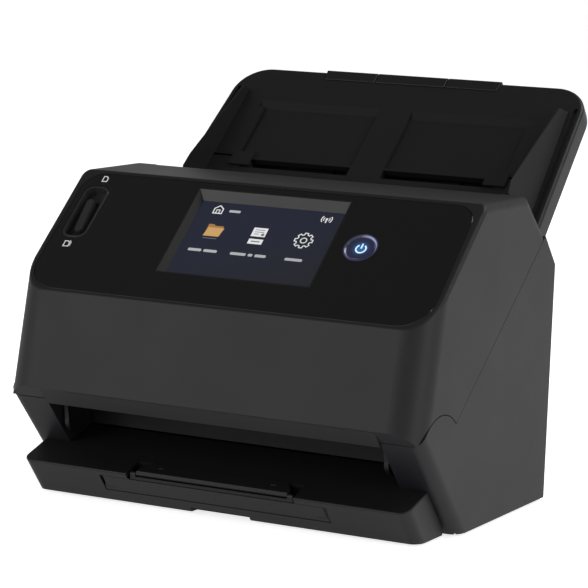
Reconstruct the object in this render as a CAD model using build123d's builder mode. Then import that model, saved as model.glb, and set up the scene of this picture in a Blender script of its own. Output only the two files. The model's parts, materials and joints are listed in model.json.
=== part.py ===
# Sheet fed document scanner: a base with the paper exit at its foot, a front cover that swings
# forward about pins beside the exit, a feed tray that leans back, and the pull-out output tray.
# Origin: the middle of the bounding box, on the desk. +X to the right seen from the front, +Y to the
# back, +Z up. Millimetres.
import math
import os

from build123d import *

os.makedirs("parts", exist_ok=True)

# ---------------------------------------------------------------- driving dimensions
half_width = 145.5
# the outlines below are drawn from the middle of the base; the whole machine is then moved
# forward by this much, so that the origin is the middle of the machine with its tray
frame_shift = 12.95
wall = 3.0
cover_wall = 2.8
rear_y = 73.5
floor_z = 2.0
mouth_half = 118.0
paper_half = 112.0

# side profile of the machine, as (y, z)
nose = (-137.0, 74.5)
brow = (-124.0, 135.4)
crest = (-44.6, 205.8)
top_rear = (20.0, 206.0)
shoulder = (52.0, 177.6)
rear_corner = (rear_y, 154.8)
seam_foot = (-79.6, 73.7)
seam_gap = 0.6
lip = (-128.0, 63.5)
wing_foot = (-67.8, 2.0)
wing_top = (-128.3, 66.1)

# the cover turns about this axis; the ears of the base are round about it
pivot_y = -101.0
pivot_z = 50.0
ear_radius = 32.0
hinge_pin_radius = 3.0
running_gap = 0.05

# control panel: slope and layout, x across and s up the slope from the brow
panel_angle = math.degrees(math.atan2(crest[1] - brow[1], crest[0] - brow[0]))
panel_length = math.hypot(crest[0] - brow[0], crest[1] - brow[1])
screen_window = (-55.0, 56.0, 24.0, 99.0)
screen_glass = (-50.0, 54.5, 28.0, 91.5)
screen_depth = 4.5
button_x = 75.4
button_s = 61.2
button_radius = 9.3
ring_radius = 11.4
lever_window = (-136.0, -117.0, 46.0, 92.0)

# paper path: a plane from the exit up and back to the feed tray, t up the slope
path_origin = (-70.0, 76.5)
path_angle = 37.15
path_gap = 1.6
sheet_half = 110.0

# feed tray, x across and s up the tray, w in front of its face
tray_origin = (40.0, 170.2)
tray_angle = 40.7
tray_half = 140.4
tray_top_half = 132.8
tray_length = 149.7
tray_thickness = 15.3
tray_back = 3.2
tray_hinge = (7.0, -7.0)

# output tray
rim_half = 136.6
rim_front = (-126.5, 24.6)
tray_top_back = (-72.5, 41.7)
toe = (-107.0, 2.0)
first_half = 80.0
second_half = 58.0

# rollers: distance t up the path, depth of the axis under the path, radius
feed_axis = (108.0, -11.5, 12.0)
rear_drive_axis = (82.0, -9.4, 10.0)
front_drive_axis = (18.0, -9.4, 10.0)
motor_axis = (50.0, -48.0, 7.0)
pulley_radius = 7.0


def polar(angle):
    return math.cos(math.radians(angle)), math.sin(math.radians(angle))


panel_c, panel_s = polar(panel_angle)
path_c, path_s = polar(path_angle)
tray_c, tray_s = polar(tray_angle)

panel_plane = Plane((0, brow[0], brow[1]), x_dir=(1, 0, 0), z_dir=(0, -panel_s, panel_c))
path_plane = Plane((0, path_origin[0], path_origin[1]), x_dir=(1, 0, 0), z_dir=(0, -path_s, path_c))
tray_plane = Plane((0, tray_origin[0], tray_origin[1]), x_dir=(1, 0, 0), z_dir=(0, -tray_s, tray_c))


def path_yz(t, w):
    return (path_origin[0] + t * path_c - w * path_s, path_origin[1] + t * path_s + w * path_c)


def tray_yz(s, w):
    return (tray_origin[0] + s * tray_c - w * tray_s, tray_origin[1] + s * tray_s + w * tray_c)


def across(y, z, x=0.0):
    """The plane at x whose normal is +X and whose centre is the axis at (y, z)."""
    return Plane((x, y, z), x_dir=(0, 1, 0), z_dir=(1, 0, 0))


def side_face(points):
    """A straight-sided outline in the side view, added to the sketch that is open."""
    return Polygon(*points, align=None)


def tray_corners(low, high, inset):
    """Four corners across the tapering feed tray between two distances up it."""
    taper = (tray_half - tray_top_half) / tray_length
    bottom = tray_half - taper * low - inset
    top = tray_half - taper * high - inset
    return [(-bottom, low), (bottom, low), (top, high), (-top, high)]


def finish(piece, name):
    shape = piece.part.moved(Location((0.0, -frame_shift, 0.0)))
    shape.label = name
    export_step(shape, f"parts/{name}.step")


def ear_point(angle, radius):
    c, s = polar(angle)
    return (pivot_y + radius * c, pivot_z + radius * s)


# ---------------------------------------------------------------- base housing
# One moulded shell: sides, rear wall, sloping roof behind the tray, and the two hollow ears
# that stand in front on both sides of the paper exit.
with BuildPart() as base_housing:
    with BuildSketch(Plane.YZ):
        with BuildLine():
            Line(wing_foot, wing_top)
            ThreePointArc(wing_top, ear_point(92.0, ear_radius), seam_foot)
            Polyline(seam_foot, shoulder, rear_corner, (rear_y, floor_z), wing_foot)
        make_face()
    extrude(amount=half_width, both=True)
    rear_edges = base_housing.edges().filter_by(Axis.Z).sort_by(Axis.Y)[-2:]
    fillet(rear_edges, 3.0)
    wing_edges = [e for e in base_housing.edges() if abs(e.length - math.dist(wing_foot, wing_top)) < 0.5]
    wing_edges = [e for e in wing_edges if abs(abs(e.center().X) - half_width) < 0.1]
    fillet(wing_edges, 8.0)
    # main hollow, open above the seam and below
    with BuildSketch(Plane.YZ):
        side_face([(-66.0, 0.0), (-72.0, 40.0), (-72.0, 100.0), (40.0, 192.0), (49.6, 175.4),
                   (rear_y - wall, 153.6), (rear_y - wall, 0.0)])
    extrude(amount=half_width - wall, both=True, mode=Mode.SUBTRACT)
    # way for the feed tray through the roof
    with BuildSketch(Plane.YZ):
        side_face([tray_yz(-14.0, -17.0), tray_yz(26.0, -17.0), tray_yz(26.0, 20.0), tray_yz(-14.0, 20.0)])
    extrude(amount=tray_half + 1.5, both=True, mode=Mode.SUBTRACT)
    # paper exit between the ears
    with BuildSketch(Plane.YZ):
        side_face([(-140.0, 0.0), (-60.0, 0.0), (-60.0, 46.0), (-72.0, 60.0), (-72.0, 100.0), (-140.0, 100.0)])
    extrude(amount=mouth_half, both=True, mode=Mode.SUBTRACT)
    # hollows of the ears
    for side in (-1, 1):
        with BuildSketch(Plane.YZ.offset(side * (mouth_half + wall))):
            with BuildLine():
                Line((-62.6, 1.0), ear_point(144.0, ear_radius - wall))
                ThreePointArc(
                    ear_point(144.0, ear_radius - wall),
                    ear_point(92.0, ear_radius - wall),
                    ear_point(42.0, ear_radius - wall),
                )
                Polyline(ear_point(42.0, ear_radius - wall), (-71.0, 60.0), (-60.0, 1.0), (-62.6, 1.0))
            make_face()
        extrude(amount=side * 20.5, mode=Mode.SUBTRACT)
    # bearings for the cover's pins
    with BuildSketch(across(pivot_y, pivot_z)):
        Circle(hinge_pin_radius + running_gap)
    extrude(amount=mouth_half + wall + 1.0, both=True, mode=Mode.SUBTRACT)
    # blind bearings for the feed tray's pins
    hinge_y, hinge_z = tray_yz(*tray_hinge)
    with BuildSketch(across(hinge_y, hinge_z)):
        Circle(3.0 + running_gap)
    extrude(amount=144.3, both=True, mode=Mode.SUBTRACT)
    # openings for the sockets in the rear wall
    with BuildSketch(Plane.XZ.offset(-rear_y - 1.0)):
        with Locations((-34.0, 40.0)):
            Circle(6.0)
        with Locations((0.0, 40.0)):
            Rectangle(13.4, 12.2)
        with Locations((34.0, 41.0)):
            Rectangle(17.0, 14.4)
    extrude(amount=8.0, mode=Mode.SUBTRACT)
    # cooling slots in the rear wall
    with BuildSketch(Plane.XZ.offset(-rear_y - 1.0)):
        with GridLocations(8.0, 0.0, 12, 1):
            with Locations((0.0, 118.0)):
                SlotOverall(22.0, 3.0, rotation=90)
    extrude(amount=8.0, mode=Mode.SUBTRACT)
    # screw holes in the rear wall
    with BuildSketch(Plane.XZ.offset(-rear_y - 1.0)):
        with GridLocations(240.0, 110.0, 2, 2):
            with Locations((0.0, 75.0)):
                Circle(1.7)
    extrude(amount=8.0, mode=Mode.SUBTRACT)
finish(base_housing, "base_housing")

# ---------------------------------------------------------------- base plate and feet
feet = [(-120.0, -50.0), (120.0, -50.0), (-120.0, 55.0), (120.0, 55.0)]
plate_screws = [(-133.0, -30.0), (133.0, -30.0), (-133.0, 35.0), (133.0, 35.0)]
with BuildPart() as base_plate:
    with BuildSketch(Plane.XY.offset(floor_z)):
        with Locations((0.0, 5.0)):
            RectangleRounded(284.6, 130.6, 4.0)
    extrude(amount=2.0)
    with BuildSketch(Plane.XY.offset(floor_z)):
        with Locations(*feet):
            Circle(8.1)
    extrude(amount=1.0, mode=Mode.SUBTRACT)
    with BuildSketch(Plane.XY.offset(floor_z)):
        with Locations(*plate_screws):
            Circle(1.7)
    extrude(amount=3.0, mode=Mode.SUBTRACT)
finish(base_plate, "base_plate")

with BuildPart() as rubber_feet:
    with BuildSketch():
        with Locations(*feet):
            Circle(8.0)
    extrude(amount=floor_z + 1.0)
    chamfer(rubber_feet.faces().sort_by(Axis.Z)[:4].edges(), 0.5)
finish(rubber_feet, "rubber_feet")

with BuildPart() as base_screws:
    with BuildSketch(Plane.XY.offset(floor_z - 1.2)):
        with Locations(*plate_screws):
            Circle(3.0)
    extrude(amount=1.2)
    with BuildSketch(Plane.XY.offset(floor_z)):
        with Locations(*plate_screws):
            Circle(1.65)
    extrude(amount=7.0)
finish(base_screws, "base_plate_screws")

with BuildPart() as rear_screws:
    with BuildSketch(Plane.XZ.offset(-rear_y - 1.4)):
        with GridLocations(240.0, 110.0, 2, 2):
            with Locations((0.0, 75.0)):
                Circle(3.0)
    extrude(amount=1.4)
    with BuildSketch(Plane.XZ.offset(-rear_y)):
        with GridLocations(240.0, 110.0, 2, 2):
            with Locations((0.0, 75.0)):
                Circle(1.65)
    extrude(amount=6.0)
finish(rear_screws, "rear_screws")

# ---------------------------------------------------------------- lower paper guide
roller_windows = [
    (feed_axis, [-13.0, 13.0], 20.0, 17.0),
    (rear_drive_axis, [-75.0, -38.0, 38.0, 75.0], 16.0, 15.0),
    (front_drive_axis, [-75.0, -38.0, 38.0, 75.0], 16.0, 15.0),
]
with BuildPart() as lower_guide:
    with BuildSketch(path_plane.offset(-2.5)):
        with Locations((0.0, 71.5)):
            Rectangle(256.0, 143.0)
        with Locations((0.0, -9.0)):
            Rectangle(2 * paper_half, 18.0)
    extrude(amount=2.5)
    for axis, places, width, length in roller_windows:
        with BuildSketch(path_plane.offset(-3.0)):
            with Locations(*[(x, axis[0]) for x in places]):
                RectangleRounded(width, length + 3.0, 1.5)
        extrude(amount=4.0, mode=Mode.SUBTRACT)
    with BuildSketch(path_plane.offset(-3.0)):
        with Locations((0.0, 42.0)):
            Rectangle(2 * sheet_half + 1.0, 16.4)
    extrude(amount=4.0, mode=Mode.SUBTRACT)
    # low ribs that carry the sheet
    with BuildSketch(path_plane):
        with Locations((0.0, 130.0)):
            with GridLocations(24.0, 0.0, 9, 1):
                Rectangle(1.6, 20.0)
        with Locations((0.0, 63.0)):
            with GridLocations(24.0, 0.0, 9, 1):
                Rectangle(1.6, 14.0)
    extrude(amount=0.4)
    # turned-down end at the exit
    with BuildSketch(Plane.YZ):
        side_face([path_yz(-18.0, 0.0), path_yz(-20.5, -1.5), path_yz(-20.5, -9.0),
                   path_yz(-18.5, -9.0), path_yz(-18.0, -2.5)])
    extrude(amount=paper_half, both=True)
finish(lower_guide, "lower_paper_guide")

with BuildPart() as exit_wall:
    with BuildSketch(Plane.YZ):
        side_face([(-71.8, 42.6), (-69.8, 42.6), (-69.8, 66.0), (-71.8, 66.0)])
    extrude(amount=mouth_half - 0.5, both=True)
finish(exit_wall, "exit_back_wall")

# ---------------------------------------------------------------- image sensors
for where, plane_offset, centre_t, glass_w, name in (
    ("lower", -2.3, 42.0, 2.0, "lower"),
    ("upper", path_gap + 0.2, 61.0, 2.0, "upper"),
):
    body_offset = -14.5 if name == "lower" else path_gap + 2.4
    with BuildPart() as sensor_glass:
        with BuildSketch(path_plane.offset(plane_offset)):
            with Locations((0.0, centre_t)):
                Rectangle(2 * sheet_half, 15.6)
        extrude(amount=glass_w)
    finish(sensor_glass, f"{name}_sensor_glass")
    with BuildPart() as image_sensor:
        with BuildSketch(path_plane.offset(body_offset)):
            with Locations((0.0, centre_t)):
                Rectangle(2 * sheet_half + 3.6, 17.0)
        extrude(amount=12.0)
        lens_offset = body_offset + 9.0 if name == "lower" else body_offset
        with BuildSketch(path_plane.offset(lens_offset)):
            with Locations((0.0, centre_t)):
                Rectangle(2 * sheet_half - 4.0, 8.0)
        extrude(amount=3.0, mode=Mode.SUBTRACT)
    finish(image_sensor, f"{name}_image_sensor")

# ---------------------------------------------------------------- driven rollers in the base
for axis, places, width, name in (
    (feed_axis, [-13.0, 13.0], 18.0, "feed_roller"),
    (rear_drive_axis, [-75.0, -38.0, 38.0, 75.0], 14.0, "rear_drive_roller"),
    (front_drive_axis, [-75.0, -38.0, 38.0, 75.0], 14.0, "front_drive_roller"),
):
    axis_y, axis_z = path_yz(axis[0], axis[1])
    with BuildPart() as roller_shaft:
        with BuildSketch(across(axis_y, axis_z, -137.0)):
            Circle(3.0)
        extrude(amount=137.0 + 122.0)
        with BuildSketch(across(axis_y, axis_z, -136.6)):
            Circle(pulley_radius)
        extrude(amount=5.2)
        with BuildSketch(across(axis_y, axis_z, -137.4)):
            Circle(pulley_radius + 1.6)
        extrude(amount=0.8)
        with BuildSketch(across(axis_y, axis_z, -131.4)):
            Circle(pulley_radius + 1.6)
        extrude(amount=0.8)
    finish(roller_shaft, f"{name}_shaft")
    with BuildPart() as roller_tyres:
        for x in places:
            with BuildSketch(across(axis_y, axis_z, x - width / 2)):
                Circle(axis[2])
                Circle(3.0, mode=Mode.SUBTRACT)
            extrude(amount=width)
        if name == "feed_roller":
            ring_edges = roller_tyres.edges().filter_by(GeomType.CIRCLE)
            ring_edges = ring_edges.filter_by(lambda e: e.radius > 11.0)
            chamfer(ring_edges, 0.6)
    finish(roller_tyres, f"{name}_tyres")

# bearing frame that carries the three shafts, the sensor and the motor
motor_y, motor_z = path_yz(motor_axis[0], motor_axis[1])
with BuildPart() as bearing_frame:
    for x in (-126.5, 118.5):
        with BuildSketch(Plane.YZ.offset(x)):
            side_face([path_yz(4.0, -2.6), path_yz(128.0, -2.6), path_yz(128.0, -22.0),
                       path_yz(4.0, -22.0)])
        extrude(amount=3.0)
    # foot of the left plate, where the motor is bolted
    with BuildSketch(Plane.YZ.offset(-126.5)):
        side_face([path_yz(26.0, -21.9), path_yz(74.0, -21.9), path_yz(74.0, -69.0), path_yz(60.0, -71.0),
                   path_yz(40.0, -71.0), path_yz(26.0, -69.0)])
    extrude(amount=3.0)
    with BuildSketch(across(motor_y, motor_z, -127.0)):
        Circle(5.0)
    extrude(amount=4.0, mode=Mode.SUBTRACT)
    with BuildSketch(path_plane.offset(-22.0)):
        with Locations((-2.5, 62.0)):
            Rectangle(242.0, 26.0)
    extrude(amount=2.0)
    for axis in (feed_axis, rear_drive_axis, front_drive_axis):
        axis_y, axis_z = path_yz(axis[0], axis[1])
        with BuildSketch(across(axis_y, axis_z)):
            Circle(3.0 + running_gap)
        extrude(amount=130.0, both=True, mode=Mode.SUBTRACT)
finish(bearing_frame, "bearing_frame")

# ---------------------------------------------------------------- motor, its pulley and the belt
with BuildPart() as drive_motor:
    with BuildSketch(across(motor_y, motor_z, -121.5)):
        Circle(17.0)
    extrude(amount=34.0)
    with BuildSketch(across(motor_y, motor_z, -123.5)):
        RectangleRounded(38.0, 38.0, 3.0)
    extrude(amount=2.0)
    with BuildSketch(across(motor_y, motor_z, -123.6)):
        Circle(2.5 + running_gap)
    extrude(amount=14.0, mode=Mode.SUBTRACT)
finish(drive_motor, "drive_motor")

with BuildPart() as motor_pulley:
    with BuildSketch(across(motor_y, motor_z, -137.0)):
        Circle(2.5)
    extrude(amount=24.0)
    with BuildSketch(across(motor_y, motor_z, -136.6)):
        Circle(pulley_radius)
    extrude(amount=5.2)
    with BuildSketch(across(motor_y, motor_z, -137.4)):
        Circle(pulley_radius + 1.6)
    extrude(amount=0.8)
    with BuildSketch(across(motor_y, motor_z, -131.4)):
        Circle(pulley_radius + 1.6)
    extrude(amount=0.8)
finish(motor_pulley, "motor_pulley")

belt_points = [path_yz(a[0], a[1]) for a in (feed_axis, rear_drive_axis, front_drive_axis, motor_axis)]
with BuildPart() as drive_belt:
    with BuildSketch(Plane.YZ.offset(-136.4)):
        side_face(belt_points)
        offset(amount=pulley_radius + 1.3, kind=Kind.ARC)
    extrude(amount=4.8)
    with BuildSketch(Plane.YZ.offset(-136.5)):
        side_face(belt_points)
        offset(amount=pulley_radius + running_gap, kind=Kind.ARC)
    extrude(amount=5.0, mode=Mode.SUBTRACT)
finish(drive_belt, "drive_belt")

# ---------------------------------------------------------------- electronics in the base
with BuildPart() as main_board:
    with BuildSketch(Plane.XZ.offset(-58.0)):
        with Locations((20.0, 70.0)):
            Rectangle(170.0, 84.0)
    extrude(amount=-1.6)
    with BuildSketch(Plane.XZ.offset(-58.0)):
        with Locations((40.0, 72.0)):
            Rectangle(24.0, 24.0)
        with Locations((78.0, 78.0)):
            Rectangle(14.0, 10.0)
        with Locations((-20.0, 84.0)):
            Rectangle(12.0, 30.0)
        with Locations((6.0, 90.0)):
            Rectangle(10.0, 14.0)
    extrude(amount=2.4)
finish(main_board, "main_board")

with BuildPart() as power_inlet:
    with BuildSketch(Plane.XZ.offset(-59.6)):
        with Locations((-34.0, 40.0)):
            RectangleRounded(13.0, 13.0, 1.0)
    extrude(amount=-10.6)
    with BuildSketch(Plane.XZ.offset(-70.2)):
        with Locations((-34.0, 40.0)):
            Circle(5.7)
    extrude(amount=-3.0)
    with BuildSketch(Plane.XZ.offset(-73.2)):
        with Locations((-34.0, 40.0)):
            Circle(3.2)
    extrude(amount=9.0, mode=Mode.SUBTRACT)
    with BuildSketch(Plane.XZ.offset(-64.0)):
        with Locations((-34.0, 40.0)):
            Circle(1.0)
    extrude(amount=-7.5)
finish(power_inlet, "power_inlet")

with BuildPart() as usb_socket:
    with BuildSketch(Plane.XZ.offset(-59.6)):
        with Locations((0.0, 40.0)):
            Rectangle(12.8, 11.6)
    extrude(amount=-13.6)
    with BuildSketch(Plane.XZ.offset(-73.2)):
        with Locations((0.0, 40.0)):
            Rectangle(9.0, 8.0)
    extrude(amount=10.0, mode=Mode.SUBTRACT)
    with BuildSketch(Plane.XZ.offset(-63.2)):
        with Locations((0.0, 40.0)):
            Rectangle(5.6, 3.2)
    extrude(amount=-8.6)
finish(usb_socket, "usb_socket")

with BuildPart() as network_socket:
    with BuildSketch(Plane.XZ.offset(-59.6)):
        with Locations((34.0, 41.0)):
            Rectangle(16.4, 13.8)
    extrude(amount=-13.6)
    with BuildSketch(Plane.XZ.offset(-73.2)):
        with Locations((34.0, 41.0)):
            Rectangle(12.0, 7.6)
            with Locations((0.0, -4.4)):
                Rectangle(6.0, 3.0)
    extrude(amount=10.0, mode=Mode.SUBTRACT)
finish(network_socket, "network_socket")

# ---------------------------------------------------------------- front cover shell
# The leaning front has rounded vertical corners, so the outside is a loft between two rounded
# outlines, cut to the side profile; the inside is the same shape one wall smaller.
lean = (brow[0] - nose[0]) / (brow[1] - nose[1])


def front_at(z):
    return nose[0] + (z - nose[1]) * lean


with BuildPart() as cover_core:
    with BuildSketch(Plane.XY.offset(50.0)) as low_inner:
        Polygon((-142.7, front_at(50.0) + cover_wall), (142.7, front_at(50.0) + cover_wall),
                (142.7, 90.0), (-142.7, 90.0), align=None)
        fillet(low_inner.vertices().sort_by(Axis.Y)[:2], 17.2)
    with BuildSketch(Plane.XY.offset(215.0)) as high_inner:
        Polygon((-142.7, front_at(215.0) + cover_wall), (142.7, front_at(215.0) + cover_wall),
                (142.7, 90.0), (-142.7, 90.0), align=None)
        fillet(high_inner.vertices().sort_by(Axis.Y)[:2], 17.2)
    loft(ruled=True)
    with BuildSketch(Plane.YZ):
        with BuildLine():
            Polyline(ear_point(142.0, 35.2), (-133.6, 77.2), (-121.5, 134.0), (-43.6, 203.1),
                     (18.9, 203.1), (50.0, 175.8), (62.0, 165.0), (-70.0, 62.0),
                     ear_point(42.0, 35.2))
            ThreePointArc(ear_point(42.0, 35.2), ear_point(92.0, 35.2), ear_point(142.0, 35.2))
        make_face()
    extrude(amount=half_width, both=True, mode=Mode.INTERSECT)

with BuildPart() as front_cover:
    with BuildSketch(Plane.XY.offset(50.0)) as low_outline:
        Polygon((-half_width, front_at(50.0)), (half_width, front_at(50.0)),
                (half_width, 90.0), (-half_width, 90.0), align=None)
        fillet(low_outline.vertices().sort_by(Axis.Y)[:2], 20.0)
    with BuildSketch(Plane.XY.offset(215.0)) as high_outline:
        Polygon((-half_width, front_at(215.0)), (half_width, front_at(215.0)),
                (half_width, 90.0), (-half_width, 90.0), align=None)
        fillet(high_outline.vertices().sort_by(Axis.Y)[:2], 20.0)
    loft(ruled=True)
    seam_start = (seam_foot[0] + 0.3, seam_foot[1] + seam_gap)
    with BuildSketch(Plane.YZ):
        with BuildLine():
            Polyline(ear_point(149.0, ear_radius + seam_gap), nose, brow, crest, top_rear,
                     (shoulder[0], shoulder[1] + seam_gap), seam_start)
            ThreePointArc(seam_start, ear_point(92.0, ear_radius + seam_gap),
                          ear_point(149.0, ear_radius + seam_gap))
        make_face()
    extrude(amount=half_width + 1.0, both=True, mode=Mode.INTERSECT)
    at_side = front_cover.edges().filter_by(lambda e: abs(abs(e.center().X) - half_width) < 0.6)
    top_edges = at_side.filter_by(lambda e: abs(e.center().Z - 206.0) < 1.0)
    slope_edges = at_side.filter_by(lambda e: 180.0 < e.center().Z < 200.0 and e.center().Y > 20.0)
    middle = front_cover.edges().filter_by(lambda e: abs(e.center().X) < 1.0)
    rear_edge = middle.filter_by(lambda e: abs(e.center().Y - top_rear[0]) < 0.5)
    fillet([*top_edges, *slope_edges, *rear_edge], 6.0)
    at_side = front_cover.edges().filter_by(lambda e: abs(abs(e.center().X) - half_width) < 0.9)
    panel_sides = at_side.filter_by(lambda e: 150.0 < e.center().Z < 200.0 and e.center().Y < -50.0)
    corner_arcs = front_cover.edges().filter_by(
        lambda e: abs(e.center().X) > 125.0 and 134.0 < e.center().Z < 150.0 and e.center().Y < -100.0
    )
    middle = front_cover.edges().filter_by(lambda e: abs(e.center().X) < 1.0)
    crease = middle.filter_by(lambda e: abs(e.center().Y - brow[0]) < 0.5 or abs(e.center().Y - crest[0]) < 1.0)
    fillet([*panel_sides, *corner_arcs, *crease], 2.5)
    add(cover_core.part, mode=Mode.SUBTRACT)
    # mouth of the hopper: the shell is open behind the crest between the two shoulders
    with BuildSketch(Plane.YZ):
        side_face([(15.5, 210.0), (15.5, 198.0), (24.0, 158.0), (70.0, 158.0), (70.0, 210.0)])
    extrude(amount=127.5, both=True, mode=Mode.SUBTRACT)
    # the feet of the shoulders stop just above the face of the feed tray
    with BuildSketch(Plane.YZ):
        side_face([tray_yz(-10.0, -20.0), tray_yz(34.0, -20.0), tray_yz(34.0, 4.5), tray_yz(-10.0, 4.5)])
    extrude(amount=tray_half + 1.3, both=True, mode=Mode.SUBTRACT)
    # between the ears the round trough is open for the exit guide
    with BuildSketch(across(pivot_y, pivot_z)):
        Circle(36.0)
    extrude(amount=mouth_half - 0.3, both=True, mode=Mode.SUBTRACT)
    # front lip over the paper exit
    with BuildSketch(Plane.YZ):
        side_face([(-136.4, 74.2), lip, (-125.6, 65.0), (-130.2, 71.5), (-133.4, 77.2)])
    extrude(amount=mouth_half - 0.3, both=True)
    # seat of the control panel
    with BuildSketch(panel_plane.offset(-1.2)) as panel_seat:
        Polygon((-141.4, 1.8), (141.4, 1.8), (140.2, panel_length - 2.6), (-140.2, panel_length - 2.6),
                align=None)
        fillet(panel_seat.vertices().sort_by(Axis.Y)[:2], 22.0)
        fillet(panel_seat.vertices().sort_by(Axis.Y)[-2:], 15.0)
    extrude(amount=4.0, mode=Mode.SUBTRACT)
    # openings behind the panel
    with BuildSketch(panel_plane.offset(-6.0)):
        with Locations(((screen_window[0] + screen_window[1]) / 2, (screen_window[2] + screen_window[3]) / 2)):
            Rectangle(screen_window[1] - screen_window[0] + 4.0, screen_window[3] - screen_window[2] + 4.0)
        with Locations((button_x, button_s)):
            Circle(ring_radius + 1.5)
        with Locations(((lever_window[0] + lever_window[1]) / 2, (lever_window[2] + lever_window[3]) / 2)):
            RectangleRounded(lever_window[1] - lever_window[0] + 1.6, lever_window[3] - lever_window[2] + 1.6, 8.0)
    extrude(amount=6.0, mode=Mode.SUBTRACT)
finish(front_cover, "front_cover_shell")

# ---------------------------------------------------------------- control panel
with BuildPart() as control_panel:
    with BuildSketch(panel_plane.offset(-1.15)) as panel_outline:
        Polygon((-141.2, 2.0), (141.2, 2.0), (140.0, panel_length - 2.8), (-140.0, panel_length - 2.8),
                align=None)
        fillet(panel_outline.vertices().sort_by(Axis.Y)[:2], 21.8)
        fillet(panel_outline.vertices().sort_by(Axis.Y)[-2:], 14.8)
    extrude(amount=1.15)
    rim = control_panel.faces().sort_by(lambda f: f.center().dot(Vector(0, -panel_s, panel_c)))[-1].edges()
    chamfer(rim, 0.25)
    with BuildSketch(panel_plane.offset(-2.0)):
        with Locations(((screen_window[0] + screen_window[1]) / 2, (screen_window[2] + screen_window[3]) / 2)):
            Rectangle(screen_window[1] - screen_window[0], screen_window[3] - screen_window[2])
        with Locations((button_x, button_s)):
            Circle(ring_radius + 0.1)
        with Locations(((lever_window[0] + lever_window[1]) / 2, (lever_window[2] + lever_window[3]) / 2)):
            RectangleRounded(lever_window[1] - lever_window[0], lever_window[3] - lever_window[2], 7.0)
    extrude(amount=3.0, mode=Mode.SUBTRACT)
finish(control_panel, "control_panel")

# raised-walled frame that sinks the touch screen below the panel
wx0, wx1, ws0, ws1 = screen_window
gx0, gx1, gs0, gs1 = screen_glass
with BuildPart() as frame_funnel:
    with BuildSketch(panel_plane.offset(0.05)):
        Polygon((wx0 + 1.4, ws0 + 1.4), (wx1 - 1.4, ws0 + 1.4), (wx1 - 1.4, ws1 - 1.4),
                (wx0 + 1.4, ws1 - 1.4), align=None)
    with BuildSketch(panel_plane.offset(-screen_depth - 0.05)):
        Polygon((gx0, gs0), (gx1, gs0), (gx1, gs1), (gx0, gs1), align=None)
    loft(ruled=True)
with BuildPart() as screen_frame:
    with BuildSketch(panel_plane.offset(-screen_depth)):
        Polygon((wx0 + 0.1, ws0 + 0.1), (wx1 - 0.1, ws0 + 0.1), (wx1 - 0.1, ws1 - 0.1),
                (wx0 + 0.1, ws1 - 0.1), align=None)
    extrude(amount=screen_depth)
    add(frame_funnel.part, mode=Mode.SUBTRACT)
finish(screen_frame, "screen_frame")

with BuildPart() as touch_screen:
    with BuildSketch(panel_plane.offset(-screen_depth - 1.4)):
        Polygon((wx0 + 1.0, ws0 + 0.6), (wx1 - 0.6, ws0 + 0.6), (wx1 - 0.6, ws1 - 1.0),
                (wx0 + 1.0, ws1 - 1.0), align=None)
    extrude(amount=1.4)
finish(touch_screen, "touch_screen")

with BuildPart() as display_module:
    with BuildSketch(panel_plane.offset(-screen_depth - 5.4)):
        Polygon((gx0 - 2.5, gs0 - 2.5), (gx1 + 1.5, gs0 - 2.5), (gx1 + 1.5, gs1 + 3.0),
                (gx0 - 2.5, gs1 + 3.0), align=None)
    extrude(amount=4.0)
finish(display_module, "display_module")

with BuildPart() as panel_board:
    with BuildSketch(panel_plane.offset(-13.2)):
        with Locations((14.0, 55.0)):
            Rectangle(170.0, 76.0)
    extrude(amount=1.6)
    with BuildSketch(panel_plane.offset(-11.6)):
        with Locations((button_x, button_s)):
            Rectangle(8.0, 8.0)
        with Locations((-62.0, 50.0)):
            Rectangle(6.0, 22.0)
    extrude(amount=2.2)
    with BuildSketch(panel_plane.offset(-15.4)):
        with Locations((20.0, 50.0)):
            Rectangle(16.0, 16.0)
        with Locations((-24.0, 60.0)):
            Rectangle(24.0, 7.0)
    extrude(amount=2.2)
finish(panel_board, "panel_board")

# ---------------------------------------------------------------- power button
with BuildPart() as button_ring:
    with BuildSketch(panel_plane.offset(-3.0)):
        with Locations((button_x, button_s)):
            Circle(ring_radius)
            Circle(button_radius + 0.25, mode=Mode.SUBTRACT)
    extrude(amount=2.8)
    upper = button_ring.edges().filter_by(GeomType.CIRCLE).sort_by(
        lambda e: e.center().dot(Vector(0, -panel_s, panel_c)))[-2:]
    inner = upper.sort_by(lambda e: e.radius)[0]
    chamfer(inner, 0.9)
finish(button_ring, "power_button_ring")

with BuildPart() as power_button:
    with BuildSketch(panel_plane.offset(-3.4)):
        with Locations((button_x, button_s)):
            Circle(button_radius)
    extrude(amount=2.6)
    crown = power_button.edges().filter_by(GeomType.CIRCLE).sort_by(
        lambda e: e.center().dot(Vector(0, -panel_s, panel_c)))[-1]
    fillet(crown, 0.8)
    with BuildSketch(panel_plane.offset(-8.4)):
        with Locations((button_x, button_s)):
            Circle(2.5)
    extrude(amount=5.2)
finish(power_button, "power_button")

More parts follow.
